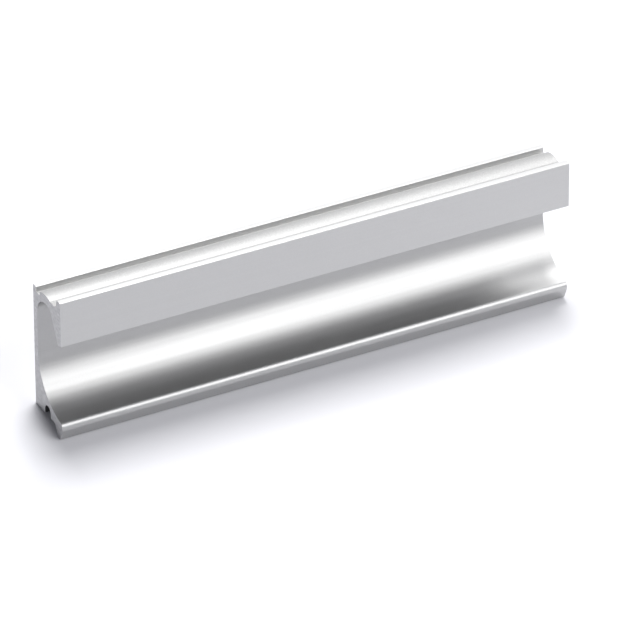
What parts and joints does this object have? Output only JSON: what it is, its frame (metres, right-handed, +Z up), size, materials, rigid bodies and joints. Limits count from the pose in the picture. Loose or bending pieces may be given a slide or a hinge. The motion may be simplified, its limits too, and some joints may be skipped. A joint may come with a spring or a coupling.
{
  "type": "furniture handle",
  "caption": "Extruded aluminium finger-pull handle profile that sits on the edge of a cabinet door or drawer front.",
  "frame": {"origin": "middle of the length and of the depth, on the floor that the piece stands on", "axes": "+X along the length, +Z up, -Y towards the front that the fingers pull; at rest the section leans back by 14.3 degrees about X, onto its nose and the foot of its wall"},
  "size_m": [0.2, 0.0324, 0.0558],
  "materials": {
    "anodised_aluminium": "satin silver anodised"
  },
  "bodies": {
    "root": {"handle_profile": "anodised_aluminium"}
  },
  "joints": []
}
